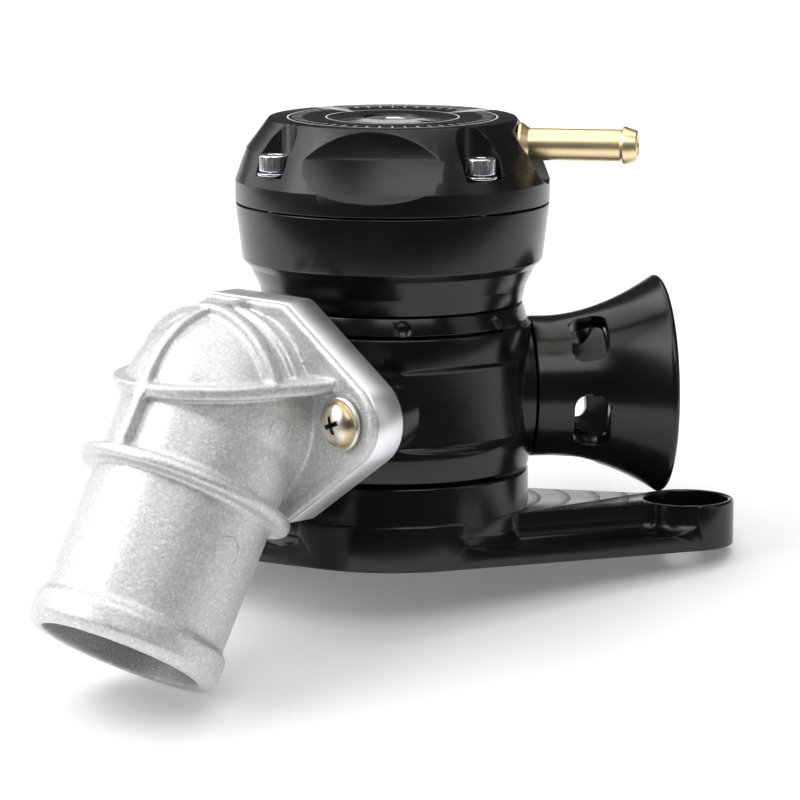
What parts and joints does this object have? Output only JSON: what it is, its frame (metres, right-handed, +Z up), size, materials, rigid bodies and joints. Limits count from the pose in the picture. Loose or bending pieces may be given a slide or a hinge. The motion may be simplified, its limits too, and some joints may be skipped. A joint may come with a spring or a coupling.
{
  "type": "blow off valve",
  "caption": "Dual-outlet blow-off valve: two-eared base, turned body, chamfered cap with vacuum nipple, cast return elbow and flared trumpet outlet, with sprung piston and turning bias sleeve inside",
  "frame": {"origin": "centre of the inlet bore in the mounting face of the base", "axes": "+Z up the bore towards the cap, +X along the bolt line towards the long ear, -Y towards the side with the cap's cove and the elbow"},
  "size_m": [0.1304, 0.0949, 0.1007],
  "materials": {
    "black_anodised": "anodised, semi gloss",
    "cast_aluminium": "as cast and blasted",
    "bare_aluminium": "turned",
    "steel": "plated",
    "brass": "turned",
    "rubber": "moulded",
    "polymer": "matt"
  },
  "bodies": {
    "valve": {"base_flange": "black_anodised", "flange_o_ring": "rubber", "body_o_ring": "rubber", "body_retaining_ring": "steel", "valve_body": "black_anodised", "trumpet": "black_anodised", "trumpet_o_ring": "rubber", "elbow": "cast_aluminium", "elbow_o_ring": "rubber", "elbow_screw_left": "steel", "elbow_screw_right": "steel", "sleeve_retainer": "steel"},
    "head": {"bias_sleeve": "black_anodised", "bias_ring": "black_anodised", "upper_body": "black_anodised", "cap": "black_anodised", "cap_o_ring": "rubber", "cap_screw_front_left": "steel", "cap_screw_front_right": "steel", "cap_screw_back_right": "steel", "cap_screw_back_left": "steel", "cap_washer_front_left": "steel", "cap_washer_front_right": "steel", "cap_washer_back_right": "steel", "cap_washer_back_left": "steel", "vacuum_nipple": "brass", "nipple_seal": "rubber"},
    "adjuster": {"adjuster_screw": "bare_aluminium", "adjuster_o_ring": "rubber", "adjuster_clip": "steel"},
    "seat": {"spring_seat": "bare_aluminium"},
    "plunger": {"piston": "bare_aluminium", "piston_o_ring": "rubber", "piston_guide_band": "polymer", "spring": "steel"}
  },
  "joints": [
    {"name": "head_turn", "type": "hinge", "parent": "valve", "child": "head", "pos_m": [0, 0, 0.0439], "axis": [0, 0, 1], "range_deg": [-35, 35]},
    {"name": "piston_slide", "type": "slide", "parent": "head", "child": "plunger", "axis": [0, 0, 1], "range_m": [0, 0.012], "stiffness_N_per_m": 1200, "springref_m": -0.015, "deforming": ["spring"]},
    {"name": "adjuster_turn", "type": "hinge", "parent": "head", "child": "adjuster", "pos_m": [0, 0, 0.08], "axis": [0, 0, 1], "range_deg": [-540, 1440]},
    {"name": "spring_seat_slide", "type": "slide", "parent": "head", "child": "seat", "axis": [0, 0, 1], "range_m": [-0.004, 0.0015], "deforming": ["spring"]}
  ],
  "couplings": [
    {"joint": "spring_seat_slide", "follows": "adjuster_turn", "m_per_rad": -0.00015915}
  ]
}
